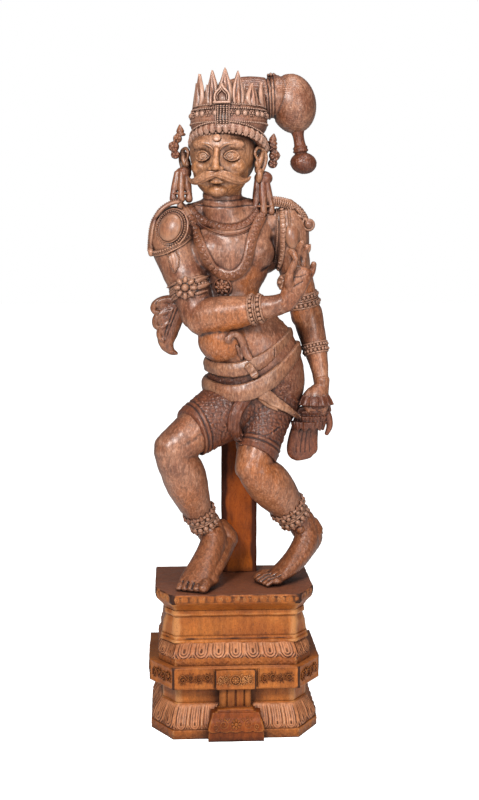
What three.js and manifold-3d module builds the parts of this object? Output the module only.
// A carved wooden temple figure: a crowned, moustached man in a dancing step, leaning on a squared post
// and standing on a moulded plinth whose front corners are cut off. Millimetres, +Z up, the front of the figure towards -Y.
// The origin is the middle of the plinth's underside. "Right" and "left" are the figure's own sides, so
// its right arm and leg are at -X.
import * as THREE from "three";
import { ConvexGeometry } from "three/addons/geometries/ConvexGeometry.js";
import { LoftGeometry } from "three/addons/geometries/LoftGeometry.js";
import { mergeVertices } from "three/addons/utils/BufferGeometryUtils.js";
import Module from "manifold-3d";

const wasm = await Module();
wasm.setup();

// Driving dimensions
const totalHeight = 1770;
const plinthHeight = 390;
const gap = 0.3;
// How far a joined solid's facets may stray when needless ones are merged
const looseness = 5;

// The figure stands turned a little on its plinth, in degrees
const figureTurn = -1;
const figureShift = [-2, 0, 0];

// The figure's joints, from which its limbs are drawn
const neckTop = [-26, -4, 1450];
const rightShoulder = [-156, 5, 1354];
const rightElbow = [-88, -52, 1104];
const rightWrist = [138, -150, 1160];
const leftShoulder = [160, 20, 1358];
const leftElbow = [206, 48, 1115];
const leftWrist = [245, 6, 934];
const rightHip = [14, 4, 884];
const rightKnee = [-168, -94, 764];
const rightAnkle = [-72, -8, 552];
const leftHip = [118, 20, 892];
const leftKnee = [54, -60, 700];
const leftAnkle = [194, 34, 546];

// Solids

// A closed geometry as a solid, with its faces turned outwards
function solidOf(geometry) {
  const bare = new THREE.BufferGeometry().copy(geometry);
  bare.deleteAttribute("normal");
  bare.deleteAttribute("uv");
  const merged = mergeVertices(bare, 1e-3);
  const position = merged.attributes.position;
  const index = Array.from(merged.index.array);
  const faces = [];
  let volume = 0;
  const [a, b, c] = [new THREE.Vector3(), new THREE.Vector3(), new THREE.Vector3()];
  for (let i = 0; i < index.length; i += 3) {
    const [p, q, r] = index.slice(i, i + 3);
    if (p === q || q === r || r === p) continue;
    faces.push(p, q, r);
    a.fromBufferAttribute(position, p);
    b.fromBufferAttribute(position, q);
    c.fromBufferAttribute(position, r);
    volume += a.dot(b.cross(c));
  }
  if (volume < 0) faces.reverse();
  return new wasm.Manifold(
    new wasm.Mesh({
      numProp: 3,
      vertProperties: new Float32Array(position.array),
      triVerts: new Uint32Array(faces),
    }),
  );
}

function joined(solids) {
  return solids.reduce((whole, next) => whole.add(next));
}

// The outer skin of a joined solid, without the pockets that its pieces close off inside it
function outerSkin(solid) {
  return solid.decompose().reduce((a, b) => (a.volume() > b.volume() ? a : b));
}

function meshOf(solid, name, material) {
  const { numProp, vertProperties, triVerts } = outerSkin(solid).getMesh();
  const points = new Float32Array((vertProperties.length / numProp) * 3);
  for (let i = 0; i < points.length / 3; i += 1)
    points.set(vertProperties.subarray(i * numProp, i * numProp + 3), i * 3);
  const geometry = new THREE.BufferGeometry();
  geometry.setAttribute("position", new THREE.BufferAttribute(points, 3));
  geometry.setIndex(new THREE.BufferAttribute(new Uint32Array(triVerts), 1));
  geometry.computeVertexNormals();
  const mesh = new THREE.Mesh(geometry, material);
  mesh.name = name;
  return mesh;
}

// A limb: an ellipse carried along the line through its stations. A station is [x, y, z, half width seen
// from the front, half thickness along the deep axis]. Both ends are rounded by bluntness.
function limb(stations, { sides = 8, deep = [0, 1, 0], bluntness = 0.6 } = {}) {
  const deepAxis = new THREE.Vector3(...deep);
  const centres = stations.map(([x, y, z]) => new THREE.Vector3(x, y, z));
  const last = stations.length - 1;
  const along = (i) =>
    centres[Math.min(i + 1, last)].clone().sub(centres[Math.max(i - 1, 0)]).normalize();
  const ring = (centre, axis, wide, thick) => {
    const inward = deepAxis.clone().addScaledVector(axis, -deepAxis.dot(axis)).normalize();
    const across = new THREE.Vector3().crossVectors(inward, axis);
    return Array.from({ length: sides }, (_, k) => {
      const turn = (2 * Math.PI * (k + 0.5)) / sides;
      return centre
        .clone()
        .addScaledVector(across, wide * Math.cos(turn))
        .addScaledVector(inward, thick * Math.sin(turn));
    });
  };
  const end = (i, way) => {
    if (!bluntness) return [];
    const [, , , wide, thick] = stations[i];
    const beyond = centres[i].clone().addScaledVector(along(i), Math.min(wide, thick) * bluntness * way);
    return [ring(beyond, along(i), wide * 0.6, thick * 0.6)];
  };
  const rings = stations.map(([, , , wide, thick], i) => ring(centres[i], along(i), wide, thick));
  const sections = [...end(0, -1), ...rings, ...end(last, 1)];
  return solidOf(new LoftGeometry(sections, { capStart: true, capEnd: true }));
}

// A smooth limb through a few stations, with every measure eased between them. Its bands are carved
// rings that stand proud of it, each [share of the way, half its width as a share, height].
function easedLimb(stations, steps, { bands = [], ...options } = {}) {
  const places = new THREE.CatmullRomCurve3(
    stations.map(([x, y, z]) => new THREE.Vector3(x, y, z)), false, "centripetal");
  const sizes = new THREE.CatmullRomCurve3(
    stations.map(([, , , wide, thick], i) => new THREE.Vector3(wide, thick, i)), false, "catmullrom");
  const plain = Array.from({ length: steps + 1 }, (_, i) => i / steps).filter((share) =>
    bands.every(([middle, half]) => Math.abs(share - middle) > half * 1.5));
  const edges = bands.flatMap(([middle, half]) =>
    [-1, -0.8, 0.8, 1].map((side) => middle + side * half));
  const eased = [...plain, ...edges].sort((a, b) => a - b).map((share) => {
    const place = places.getPoint(share);
    const size = sizes.getPoint(share);
    const raised = bands.find(([middle, half]) => Math.abs(share - middle) < half * 0.9);
    const extra = raised ? raised[2] : 0;
    return [place.x, place.y, place.z, size.x + extra, size.y + extra];
  });
  return limb(eased, options);
}

// A faceted bar through its points, each [x, y, z, radius]
function chain(points, [flatX, flatY, flatZ] = [1, 1, 1]) {
  const gems = points.map(([x, y, z, radius]) => [
    [x + radius * flatX, y, z], [x - radius * flatX, y, z], [x, y + radius * flatY, z],
    [x, y - radius * flatY, z], [x, y, z + radius * flatZ], [x, y, z - radius * flatZ],
  ]);
  return joined(gems.slice(1).map((gem, i) => block([...gems[i], ...gem])));
}

// A string of beads or blocks: the section swells at each bead and pinches between them
function beadedLimb(path, beads, wide, thick, pinch, options) {
  const curve = new THREE.CatmullRomCurve3(path.map((p) => new THREE.Vector3(...p)));
  const stations = Array.from({ length: beads * 2 + 1 }, (_, i) => {
    const place = curve.getPointAt(i / (beads * 2));
    const size = i % 2 ? 1 : pinch;
    return [place.x, place.y, place.z, wide * size, thick * size];
  });
  return limb(stations, { sides: 5, bluntness: 0, ...options });
}

function ball([x, y, z], [halfX, halfY, halfZ], { wide = 8, tall = 6, turnY = 0, turnZ = 0 } = {}) {
  const geometry = new THREE.SphereGeometry(1, wide, tall);
  geometry.rotateX(Math.PI / 2);
  geometry.scale(halfX, halfY, halfZ);
  geometry.rotateY(turnY);
  geometry.rotateZ(turnZ);
  geometry.translate(x, y, z);
  return solidOf(geometry);
}

function block(points) {
  return solidOf(new ConvexGeometry(points.map((p) => new THREE.Vector3(...p))));
}

// A round turned piece on the line from foot to head: rows of [share of the length, radius]
function turned(foot, head, rows, { sides = 12 } = {}) {
  const from = new THREE.Vector3(...foot);
  const axis = new THREE.Vector3(...head).sub(from);
  const profile = rows.map(([share, radius]) => new THREE.Vector2(radius, share * axis.length()));
  profile.unshift(new THREE.Vector2(0, profile[0].y));
  profile.push(new THREE.Vector2(0, profile[profile.length - 1].y));
  const geometry = new THREE.LatheGeometry(profile, sides);
  geometry.applyQuaternion(
    new THREE.Quaternion().setFromUnitVectors(new THREE.Vector3(0, 1, 0), axis.clone().normalize()));
  geometry.translate(...foot);
  return solidOf(geometry);
}

// A flat-petalled rosette on the skin, facing the given way
function rosette(centre, facing, radius, height, petals) {
  const turn = new THREE.Quaternion().setFromUnitVectors(
    new THREE.Vector3(0, 0, 1), new THREE.Vector3(...facing).normalize());
  const put = (geometry) => {
    geometry.applyQuaternion(turn);
    geometry.translate(...centre);
    return solidOf(geometry);
  };
  const ring = (share, z) => Array.from({ length: petals * 2 }, (_, i) => {
    const angle = (Math.PI * i) / petals;
    const reach = radius * share * (i % 2 ? 1 : 0.8);
    return new THREE.Vector3(reach * Math.cos(angle), reach * Math.sin(angle), z);
  });
  const rings = [ring(1, -height), ring(1, height * 0.45), ring(0.62, height * 0.8), ring(0.3, height * 0.82)];
  const heart = new THREE.SphereGeometry(1, 6, 4);
  heart.rotateX(Math.PI / 2);
  heart.scale(radius * 0.3, radius * 0.3, height);
  return joined([put(new LoftGeometry(rings, { capStart: true, capEnd: true })), put(heart)]);
}

// The plinth

// One course of the plinth is the hull of a lower and an upper outline. An outline is [half width, reach
// to the front, height, width and depth cut off each front corner]. Its points are listed anticlockwise
// from the right end of the back edge, which is nearer the middle than the front is.
const backInset = 17;
function outline([halfWidth, reach, height, cutWidth, cutDepth]) {
  const [x, y] = [halfWidth - cutWidth, reach - cutDepth];
  const back = reach - backInset;
  return [
    [halfWidth, back, height], [-halfWidth, back, height], [-halfWidth, -y, height], [-x, -reach, height],
    [x, -reach, height], [halfWidth, -y, height],
  ];
}
function course(lower, upper) {
  return block([...outline(lower), ...outline(upper)]);
}

// A course of drooping lotus petals: its outline swells at the middle of each petal and its lower edge
// hangs there. Petals are counted along a cut corner, the front and a side.
const petalStops = [0, 0.25, 0.75];
function lotusCourse([lower, upper], { corner, front, side, lift, hang }) {
  const counts = [front, side, corner, front, corner, side];
  const ring = (shape, swell, droop) => {
    const corners = outline(shape).map((p) => new THREE.Vector3(...p));
    return corners.flatMap((start, i) => {
      const run = corners[(i + 1) % corners.length].clone().sub(start);
      const out = new THREE.Vector3(run.y, -run.x, 0).normalize();
      return Array.from({ length: counts[i] }, (_, petal) => petalStops.map((stop) => {
        const lobe = Math.sin(Math.PI * stop);
        const point = start.clone().addScaledVector(run, (petal + stop) / counts[i]);
        return point.addScaledVector(out, swell * lobe).setZ(shape[2] + droop * (1 - lobe));
      })).flat();
    });
  };
  const between = (share, height) => lower.map((v, i) => v + (upper[i] - v) * (i === 2 ? height : share));
  const moved = ([width, depth, height, ...cuts], inward, rise) =>
    [width - inward, depth - inward, height + rise, ...cuts];
  return solidOf(new LoftGeometry([
    ring(moved(lower, 12, 1), 0, 0),
    ring(moved(lower, 0, 3), lift, hang),
    ring(between(0.28, 0.55), lift * 0.8, 0),
    ring(upper, 0, 0),
  ], { capStart: true, capEnd: true }));
}

// The courses from the ground up
const footing = [[226, 178, 0, 58, 98], [226, 178, 22, 58, 98]];
const lowerLotus = [[222, 174, 20, 56, 94], [198, 146, 82, 42, 66]];
const lowerDado = [[196, 136, 70, 40, 62], [196, 136, 137, 40, 62]];
const frieze = [[231, 178, 136, 63, 96], [231, 178, 194, 63, 96]];
const upperFooting = [[206, 158, 193, 44, 68], [204, 156, 216, 44, 68]];
const upperLotus = [[204, 154, 211, 42, 64], [189, 131, 252, 38, 54]];
const upperFillet = [[200, 135, 250, 37, 52], [198, 128, 266, 37, 52]];
const upperDado = [[197, 123, 262, 37, 50], [182, 121, 324, 22, 32]];
const neckCollar = [[182, 125, 321, 22, 34], [188, 131, 338, 26, 40]];
const flare = [[186, 131, 338, 25, 40], [211, 166, 366, 40, 82]];
const slab = [[214, 172, 365, 43, 88], [214, 172, plinthHeight, 43, 88]];

function makePlinth(material) {
  const box = (x, y, z, [halfX, halfY, halfZ]) => {
    const geometry = new THREE.BoxGeometry(2 * halfX, 2 * halfY, 2 * halfZ);
    geometry.translate(x, y, z);
    return solidOf(geometry);
  };
  const courses = [
    footing, lowerDado, frieze, upperFooting, upperFillet, upperDado, neckCollar, flare, slab,
  ].map(([lower, upper]) => course(lower, upper));
  // The step and pilaster in the middle of the front
  const middle = -2;
  const [footHalf, topHalf, stepBack] = [75, 60, -120];
  const step = block([-1, 1].flatMap((side) => [
    [middle + side * footHalf, -200, 0], [middle + side * footHalf, -200, 24],
    [middle + side * topHalf, -186, 74], [middle + side * footHalf, stepBack, 0],
    [middle + side * topHalf, stepBack, 74],
  ]));
  const stepCap = box(middle, -154, 79, [52, 33, 6]);
  const pilaster = box(middle, -148, 108, [43, 17, 32]);
  const pilasterRibs = [[-29, 9], [0, 15], [29, 9]].map(([shift, half]) =>
    box(middle + shift, -158, 109, [half, 12, 27]));
  const friezeBlock = box(middle, -169, 163, [55, 17, 25]);
  const friezeBoss = rosette([middle, -187, 163], [0, -1, 0], 16, 5, 8);
  const lotus = [
    lotusCourse(lowerLotus, { corner: 2, front: 9, side: 5, lift: 5, hang: 9 }),
    lotusCourse(upperLotus, { corner: 2, front: 7, side: 4, lift: 4, hang: 7 }),
  ];
  const whole = joined([
    ...courses, ...lotus, step, stepCap, pilaster, ...pilasterRibs, friezeBlock, friezeBoss,
  ]);
  return meshOf(whole, "plinth", material);
}

// The post behind the legs

const postMiddle = 22;
const postHalfWidth = 49;
const postFront = 82;
const postBack = 126;
const postTop = 930;
function makePost(material) {
  const geometry = new THREE.BoxGeometry(
    2 * postHalfWidth, postBack - postFront, postTop - plinthHeight - gap);
  geometry.translate(postMiddle, (postFront + postBack) / 2, (postTop + plinthHeight + gap) / 2);
  const mesh = new THREE.Mesh(geometry, material);
  mesh.name = "support_post";
  return mesh;
}

// The figure

function makeTorso() {
  const trunk = easedLimb([
    [66, 12, 862, 118, 78], [66, 12, 925, 134, 88], [58, 8, 985, 128, 88], [34, 2, 1048, 118, 84],
    [10, 0, 1115, 88, 72], [2, 0, 1185, 80, 66], [6, 0, 1245, 100, 74], [4, 2, 1305, 118, 78],
    [2, 6, 1352, 124, 66], [-6, 6, 1388, 92, 54], [-18, 4, 1415, 66, 50],
  ], 12, { sides: 12, bluntness: 0.35 });
  const neck = limb([[-16, 2, 1380, 66, 58], [-24, -4, 1420, 60, 58], [...neckTop, 60, 60]]);
  const breasts = [[-48, -52, 1296], [54, -50, 1300]].map((p) => ball(p, [56, 30, 40], { wide: 8, tall: 5 }));
  const belly = ball([-16, -52, 1062], [74, 46, 58], { wide: 8, tall: 6 });
  return joined([trunk, neck, ...breasts, belly]);
}

function makeArms() {
  const rightUpper = easedLimb([
    [-168, 2, 1372, 44, 50], [...rightShoulder, 66, 62], [-142, -6, 1302, 64, 60], [-122, -20, 1240, 56, 55],
    [-104, -38, 1172, 51, 50], [...rightElbow, 44, 46],
  ], 7, { bands: [[0.72, 0.06, 8]] });
  const rightFore = easedLimb([
    [-92, -54, 1118, 46, 44], [-48, -76, 1124, 47, 44], [28, -102, 1134, 40, 38],
    [100, -134, 1148, 30, 30], [...rightWrist, 26, 25],
  ], 6, { bands: [[0.56, 0.07, 9]] });
  const leftUpper = easedLimb([
    [166, 20, 1382, 44, 46], [...leftShoulder, 60, 60], [168, 26, 1300, 54, 56], [184, 38, 1210, 44, 46],
    [...leftElbow, 42, 44],
  ], 6, { bands: [[0.7, 0.06, 7]] });
  const leftFore = easedLimb([
    [206, 46, 1128, 42, 44], [216, 40, 1078, 40, 40], [234, 24, 1000, 29, 30], [243, 12, 958, 21, 23],
    [...leftWrist, 20, 22],
  ], 5, { bands: [[0.38, 0.08, 9]] });
  return [rightUpper, rightFore, leftUpper, leftFore];
}

// A finger, thumb or toe from its root through its joint to its tip
function digit(root, joint, tip, radius) {
  return chain([[...root, radius], [...joint, radius], [...tip, radius * 0.8]]);
}

function makeHands() {
  const rightPalm = limb([
    [...rightWrist, 25, 24], [150, -156, 1186, 30, 21], [164, -160, 1218, 33, 18], [172, -162, 1244, 30, 15],
  ]);
  const rightFingers = [
    digit([148, -170, 1200], [146, -184, 1236], [158, -190, 1264], 11),
    digit([150, -166, 1244], [146, -176, 1286], [157, -190, 1272], 9),
    digit([166, -164, 1250], [170, -166, 1292], [182, -172, 1318], 9),
    digit([182, -160, 1246], [192, -160, 1282], [204, -166, 1306], 9),
    digit([194, -156, 1234], [208, -154, 1256], [212, -160, 1284], 8),
  ];
  const leftPalm = limb([
    [...leftWrist, 21, 22], [238, 0, 916, 30, 24], [232, -4, 896, 33, 26], [230, -4, 880, 30, 24],
  ]);
  const knuckles = [0, 1, 2, 3].map((i) =>
    chain([[206 + i * 17, -20, 894, 11], [210 + i * 14, -20, 866, 10]]));
  const thumb = chain([[206, -6, 912, 11], [204, -26, 874, 10]]);
  return [rightPalm, ...rightFingers, leftPalm, ...knuckles, thumb];
}

// The short round-footed blade in the left hand, below a cup and a collar of leaves, with a hook beside it
function makeHeldPiece() {
  const collar = turned([229, -12, 896], [208, -10, 812],
    [[0, 34], [0.1, 43], [0.22, 43], [0.38, 34], [0.55, 38], [0.8, 38], [1, 32]], { sides: 8 });
  const blade = limb([[202, -6, 830, 34, 19], [194, -4, 780, 41, 16], [192, -4, 752, 42, 13],
    [195, -4, 732, 28, 8]], { bluntness: 0.5 });
  const hook = limb([[250, -12, 862, 10, 10], [264, -12, 832, 9, 9], [258, -12, 796, 6, 6]], { sides: 6 });
  return [collar, blade, hook];
}

function makeLegs() {
  const rightThigh = easedLimb([
    [...rightHip, 78, 80], [-38, -26, 850, 74, 76], [-94, -54, 816, 64, 66], [-138, -80, 786, 54, 55],
    [...rightKnee, 47, 48],
  ], 6);
  const rightShin = easedLimb([
    [-164, -92, 772, 44, 46], [-146, -78, 732, 53, 54], [-124, -54, 684, 57, 58],
    [-106, -36, 630, 47, 48], [-86, -20, 586, 35, 37], [...rightAnkle, 32, 34],
  ], 6, { bands: [[0.84, 0.07, 9]] });
  const leftThigh = easedLimb([
    [...leftHip, 74, 86], [99, 6, 856, 68, 80], [82, -14, 812, 62, 71], [69, -34, 768, 56, 60],
    [...leftKnee, 49, 50],
  ], 6);
  const leftShin = easedLimb([
    [54, -62, 716, 44, 46], [72, -48, 690, 52, 52], [100, -24, 660, 57, 58], [132, 0, 624, 51, 51],
    [162, 18, 588, 38, 40], [...leftAnkle, 33, 34],
  ], 6, { bands: [[0.84, 0.07, 9]] });
  return [rightThigh, rightShin, leftThigh, leftShin];
}

function makeFeet() {
  const up = { sides: 8, deep: [0, 0, 1] };
  const rightFoot = limb([
    [-44, 6, 522, 34, 38], [-54, -26, 498, 36, 40], [-74, -62, 462, 38, 32], [-98, -98, 426, 45, 26],
    [-112, -122, 408, 43, 16],
  ], up);
  const rightHeel = ball([-20, 14, 506], [36, 34, 38], { wide: 6, tall: 4 });
  const rightToes = [0, 1, 2, 3, 4].map((i) => {
    const [x, y] = [-76 - i * 16, -118 + i * 3 + (i ? 4 : 0)];
    const radius = i ? 11 - i * 0.7 : 15;
    return chain([[x, y, 402 + radius, radius], [x - 11, y - 28, 394 + radius, radius * 0.9]]);
  });
  const leftFoot = limb([
    [208, 40, 524, 34, 36], [206, 22, 488, 36, 38], [178, -6, 450, 34, 34], [140, -34, 420, 38, 26],
    [112, -54, 407, 38, 15],
  ], up);
  const leftHeel = ball([228, 42, 502], [26, 34, 38], { wide: 6, tall: 4 });
  const leftToes = [0, 1, 2, 3, 4].map((i) => {
    const [x, y] = [104 + i * 4, -22 - i * 15];
    const radius = i ? 11 - i * 0.7 : 15;
    return chain([[x, y, 402 + radius, radius], [x - 27, y - 12, 394 + radius, radius * 0.9]]);
  });
  return [rightFoot, rightHeel, ...rightToes, leftFoot, leftHeel, ...leftToes];
}

// The head, built in its own frame round its middle and then turned and set in place

const headCentre = [-27, -10, 1536];
const headTurn = THREE.MathUtils.degToRad(-9);
const headHalf = { width: 82, depth: 94, height: 108 };
function onHead(solid) {
  return solid.rotate([0, 0, THREE.MathUtils.radToDeg(headTurn)]).translate(headCentre);
}

function makeHead() {
  const { width, depth, height } = headHalf;
  const skull = ball([0, 6, 14], [width, depth, height * 0.9], { wide: 12, tall: 8 });
  const jaw = ball([0, -18, -46], [width * 0.78, depth * 0.72, height * 0.55], { wide: 10, tall: 6 });
  const chin = ball([0, -68, -84], [24, 20, 18], { wide: 6, tall: 4 });
  // The features stand at the usual shares of a head: eyes at its middle, nose and mouth thirds below
  const faceFront = -depth;
  const nose = block([
    [-7, faceFront + 8, 10], [7, faceFront + 8, 10], [0, faceFront - 2, 8], [-16, faceFront + 4, -36],
    [16, faceFront + 4, -36], [0, faceFront - 22, -32], [0, faceFront - 10, -42],
  ]);
  const brows = [-1, 1].map((side) => block([
    [side * 8, faceFront + 4, 14], [side * 8, faceFront + 12, 22], [side * 36, faceFront + 8, 28],
    [side * 36, faceFront + 16, 18], [side * 62, faceFront + 32, 14], [side * 36, faceFront + 30, 24],
  ]));
  const eyes = [-1, 1].map((side) =>
    ball([side * 33, faceFront + 18, 0], [19, 13, 11], { wide: 6, tall: 3 }));
  const lips = [-52, -67].map((z) => block([
    [-24, faceFront + 14, -60], [24, faceFront + 14, -60], [-10, faceFront + 4, z], [10, faceFront + 4, z],
    [0, faceFront + 34, z],
  ]));
  const moustache = [-1, 1].map((side) => chain([
    [side * 2, faceFront + 4, -45, 9], [side * 40, faceFront + 20, -54, 10],
    [side * 68, faceFront + 48, -50, 6],
  ]));
  const mark = chain([[0, faceFront + 10, 42, 10], [0, faceFront + 11, 43, 10]], [1, 0.6, 1]);
  const ears = [-1, 1].map((side) =>
    ball([side * (width + 5), 6, -12], [14, 22, 46], { wide: 6, tall: 5, turnY: side * 0.16 }));
  return joined([skull, jaw, chin, nose, ...brows, ...eyes, ...lips, ...moustache, mark, ...ears].map(onHead));
}

function makeEarrings() {
  // [middle of the ear, top and bottom of the hanging cluster]
  const pairs = [
    { x: -132, y: -2, high: 1508, low: 1430, stud: [-134, 0, 1566], cone: [-120, 4, 1592] },
    { x: 80, y: 0, high: 1488, low: 1396, stud: [76, 4, 1548], cone: [92, 8, 1578] },
  ];
  return pairs.flatMap(({ x, y, high, low, stud, cone }) => {
    const tassel = turned([x, y, high + 4], [x + 2, y, low],
      [[0, 8], [0.1, 20], [0.55, 24], [0.7, 21], [0.85, 27], [1, 16]], { sides: 7 });
    const flower = ball(stud, [19, 18, 26], { wide: 6, tall: 5 });
    const spike = turned(cone, [cone[0], cone[1], cone[2] + 36], [[0, 14], [0.25, 15], [1, 3]], { sides: 6 });
    return [tassel, flower, spike];
  });
}

// The crown: a domed jewelled band, a ring of leaf points above it and an arched plaque in front

const crownCentre = [-10, 4];
const crownBands = [[1606, 101], [1618, 106], [1646, 101], [1662, 97], [1690, 87]];
// The leaves of its points, each [degrees round from the front towards the figure's left, height of its tip]
const crownLeaves = [
  [-69, totalHeight - 16], [-34, totalHeight - 11], [-8, totalHeight], [14, totalHeight - 13],
  [42, totalHeight - 41], [79, totalHeight - 32], [115, totalHeight - 42], [149, totalHeight - 46],
  [-175, totalHeight - 46], [-139, totalHeight - 42], [-104, totalHeight - 32],
];
function makeCrown() {
  const [cx, cy] = crownCentre;
  const low = crownBands[0][0];
  const high = crownBands[crownBands.length - 1][0];
  const drum = turned([cx - 4, cy, low], [cx + 4, cy, high],
    crownBands.map(([z, radius]) => [(z - low) / (high - low), radius]), { sides: 18 });
  const points = crownLeaves.map(([degrees, tip]) => {
    const angle = THREE.MathUtils.degToRad(degrees - 90);
    const place = (radius, side, z) => [
      cx + 4 + radius * Math.cos(angle) - side * Math.sin(angle),
      cy + radius * Math.sin(angle) + side * Math.cos(angle), z,
    ];
    return block([
      place(86, 19, 1684), place(86, -19, 1684), place(72, 0, 1684), place(94, 0, 1700),
      place(87, 14, 1716), place(87, -14, 1716), place(90, 0, tip),
    ]);
  });
  const plaque = block([
    [-48, -84, 1668], [6, -84, 1668], [-48, -90, 1676], [6, -90, 1676], [-44, -92, 1700], [2, -92, 1700],
    [-21, -95, 1726], [-21, -80, 1728], [-21, -70, 1676],
  ]);
  const hairTop = ball([cx + 2, cy, 1668], [78, 78, 46], { wide: 10, tall: 6 });
  return [drum, hairTop, ...points, plaque];
}

// The hair, knotted to the left in a big egg with a hanging tassel
function makeHairKnot() {
  const roll = limb([[-6, 34, 1696, 54, 50], [50, 42, 1704, 52, 52], [100, 48, 1704, 48, 50]]);
  const ties = limb([[98, 48, 1704, 58, 58], [107, 49, 1703, 64, 62], [117, 50, 1701, 60, 58]],
    { sides: 12, bluntness: 0.15 });
  const egg = ball([168, 50, 1687], [64, 60, 78], { wide: 12, tall: 8, turnY: -0.12 });
  const topKnot = ball([108, 40, 1762], [16, 22, 8], { wide: 8, tall: 5 });
  const tassel = turned([172, 50, 1630], [193, 50, 1508],
    [[0, 22], [0.3, 15], [0.6, 16], [0.65, 22], [0.72, 19], [0.82, 35], [1, 14]], { sides: 7 });
  return [roll, ties, egg, topKnot, tassel];
}

// Jewels on the neck, shoulders, arms and ankles

function makeNecklaces() {
  const collarBand = limb([
    [-92, 12, 1392, 20, 12], [-82, -40, 1366, 20, 14], [-50, -72, 1346, 19, 14], [-12, -82, 1338, 19, 14],
    [30, -72, 1346, 19, 14], [62, -40, 1366, 20, 14], [72, 12, 1392, 20, 12],
  ], { sides: 6 });
  const garland = beadedLimb([
    [-104, 0, 1398], [-96, -58, 1330], [-78, -84, 1262], [-44, -92, 1222], [-14, -92, 1212],
    [24, -92, 1224], [50, -86, 1264], [66, -64, 1330], [84, -10, 1392],
  ], 8, 17, 14, 0.8);
  const pendant = rosette([-34, -86, 1194], [-0.1, -1, 0.1], 24, 7, 8);
  return [collarBand, garland, pendant];
}

function makeShoulderPieces() {
  const rightRim = beadedLimb([
    [-128, -56, 1392], [-112, -62, 1346], [-136, -66, 1298], [-180, -58, 1288], [-214, -28, 1300],
  ], 6, 10, 10, 0.75);
  const rightHem = limb([[-122, 0, 1404, 12, 28], [-172, 0, 1404, 13, 40], [-214, 0, 1370, 13, 36],
    [-224, 0, 1308, 11, 26]], { sides: 5, bluntness: 0 });
  const leftHem = limb([[112, 12, 1414, 12, 28], [156, 14, 1418, 12, 38], [200, 16, 1390, 12, 34]],
    { sides: 5, bluntness: 0 });
  const leftStrap = beadedLimb([
    [108, -28, 1398], [124, -30, 1350], [134, -24, 1290], [144, -12, 1244],
  ], 5, 14, 10, 0.8);
  const scroll = turned([212, -18, 1360], [212, 24, 1362], [[0, 20], [1, 20]], { sides: 8 });
  return [rightRim, rightHem, leftHem, leftStrap, scroll];
}

function makeArmJewels() {
  const armletFlower = rosette([-110, -86, 1196], [-0.1, -1, -0.05], 29, 9, 8);
  const armletWings = [[-150, -64, 1182, 20], [-110, -80, 1194, 20], [-68, -74, 1206, 20]];
  const leftFlower = rosette([150, -2, 1206], [-0.8, -0.6, 0], 24, 8, 6);
  return [armletFlower, chain(armletWings, [1, 0.6, 0.9]), leftFlower];
}

// The dress

// A sash round the hips: an oval ring whose height rises to the figure's left and dips in front
function sash({ middle, half, height, rise, dip, wide, thick, sides = 4 }) {
  const steps = 14;
  const stations = Array.from({ length: steps + 1 }, (_, i) => {
    const angle = (2 * Math.PI * i) / steps + Math.PI / 2;
    const [x, y] = [half[0] * Math.cos(angle), half[1] * Math.sin(angle)];
    return [middle[0] + x, middle[1] + y, height + rise * (x / half[0]) + dip * (y / half[1]), wide, thick];
  });
  const rings = stations.slice(0, steps).map(([x, y, z], i) => {
    const angle = (2 * Math.PI * i) / steps + Math.PI / 2;
    const out = new THREE.Vector3(Math.cos(angle) / half[0], Math.sin(angle) / half[1], 0).normalize();
    return Array.from({ length: sides }, (_, k) => {
      const turn = (2 * Math.PI * (k + 0.5)) / sides;
      return new THREE.Vector3(x, y, z + wide * Math.sin(turn)).addScaledVector(out, thick * Math.cos(turn));
    });
  });
  rings.push(rings[0]);
  return solidOf(new LoftGeometry(rings));
}

function makeDress() {
  const skirtLeft = easedLimb([[121, 18, 905, 78, 87], [99, 4, 862, 72, 84], [82, -16, 810, 65, 75],
    [66, -42, 750, 60, 63]], 3, { bluntness: 0.1 });
  const skirtRight = easedLimb([[30, 6, 890, 84, 84], [-36, -24, 852, 78, 80], [-104, -62, 812, 67, 68]],
    3, { bluntness: 0.1 });
  const upperSash = sash({
    middle: [46, 4], half: [116, 96], height: 1016, rise: 38, dip: 40, wide: 25, thick: 13 });
  const lowerSash = sash({
    middle: [54, 8], half: [126, 104], height: 962, rise: 46, dip: 50, wide: 25, thick: 13 });
  const pleat = limb([[60, -92, 922, 18, 8], [42, -104, 880, 17, 9], [16, -106, 830, 15, 10],
    [18, -112, 800, 14, 8], [36, -112, 770, 7, 6]], { sides: 8 });
  const tail = limb([[80, -96, 926, 20, 10], [112, -104, 892, 18, 12], [150, -100, 862, 12, 10],
    [172, -96, 848, 5, 6]], { sides: 8, bluntness: 1 });
  const loop = limb([[-2, -98, 1062, 9, 10], [8, -106, 1082, 12, 12], [28, -108, 1082, 14, 12],
    [42, -104, 1056, 16, 12], [50, -100, 1026, 17, 11]], { sides: 8 });
  return [skirtLeft, skirtRight, upperSash, lowerSash, pleat, tail, loop];
}

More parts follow.
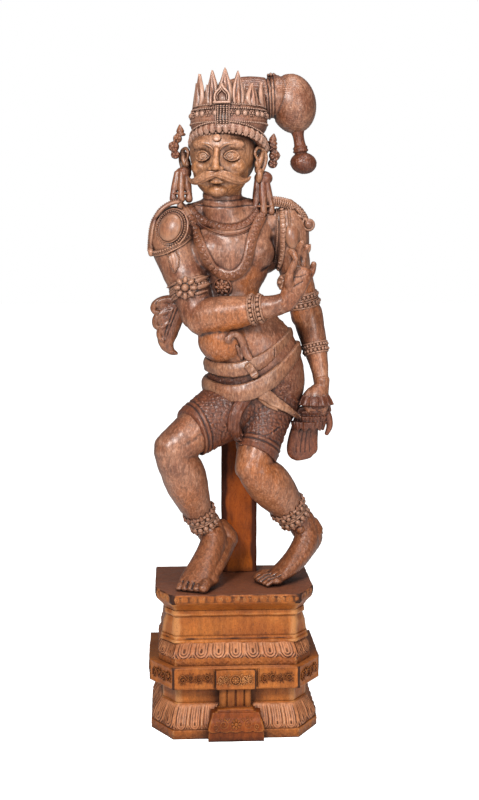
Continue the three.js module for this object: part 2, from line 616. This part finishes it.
// The end of a scarf that flies out behind the right elbow, with two curls
function makeScarf() {
  const fall = easedLimb([
    [-122, 22, 1196, 24, 22], [-150, 34, 1140, 26, 20], [-168, 38, 1096, 26, 18], [-188, 40, 1056, 21, 16],
    [-184, 40, 1026, 17, 14], [-166, 38, 1018, 9, 10],
  ], 9, { sides: 8 });
  const curls = [
    [[-160, 36, 1134, 18, 14], [-184, 38, 1128, 15, 14], [-204, 38, 1140, 12, 13], [-202, 38, 1156, 8, 10]],
    [[-176, 38, 1094, 14, 13], [-198, 38, 1090, 12, 12], [-208, 38, 1098, 7, 9]],
  ].map((stations) => limb(stations, { sides: 7 }));
  return [fall, ...curls];
}

function makeFigure(material) {
  const pieces = [
    makeTorso(), ...makeArms(), ...makeHands(), ...makeHeldPiece(), ...makeLegs(), ...makeFeet(),
    makeHead(), ...makeEarrings(), ...makeCrown(), ...makeHairKnot(), ...makeNecklaces(),
    ...makeShoulderPieces(), ...makeArmJewels(), ...makeDress(), ...makeScarf(),
  ];
  const carved = joined(pieces).simplify(looseness).rotate([0, 0, figureTurn]).translate(figureShift);
  // The block of wood left behind the hips, which the post runs up to
  const [left, right] = [postMiddle - postHalfWidth, postMiddle + postHalfWidth];
  const heel = block([
    [left - 10, 40, 900], [right + 40, 40, 900], [left - 10, 70, 1000], [right + 40, 70, 1000],
    [left, postFront, postTop + gap], [right, postFront, postTop + gap], [left, postBack, postTop + gap],
    [right, postBack, postTop + gap], [left, postBack - 16, 980], [right, postBack - 16, 980],
  ]);
  const postLength = postTop - plinthHeight;
  const postSpace = solidOf(new THREE.BoxGeometry(
    2 * (postHalfWidth + gap), postBack - postFront + 2 * gap, postLength).translate(
    postMiddle, (postFront + postBack) / 2, postTop + gap - postLength / 2));
  // Everything that would reach into the plinth is cut off
  const farOut = 1000;
  const below = solidOf(new THREE.BoxGeometry(farOut, farOut, plinthHeight).translate(
    0, 0, plinthHeight / 2 + gap));
  const whole = carved.add(heel).subtract(postSpace).subtract(below);
  return meshOf(whole, "figure", material);
}

// The object

const skinWood = new THREE.MeshStandardMaterial({ color: 0x9a6444, roughness: 0.5, metalness: 0 });
const plinthWood = new THREE.MeshStandardMaterial({ color: 0xa35f2e, roughness: 0.55, metalness: 0 });
const postWood = new THREE.MeshStandardMaterial({ color: 0xa5622f, roughness: 0.6, metalness: 0 });

const carving = new THREE.Group();
carving.add(makePlinth(plinthWood), makePost(postWood), makeFigure(skinWood));

export default carving;
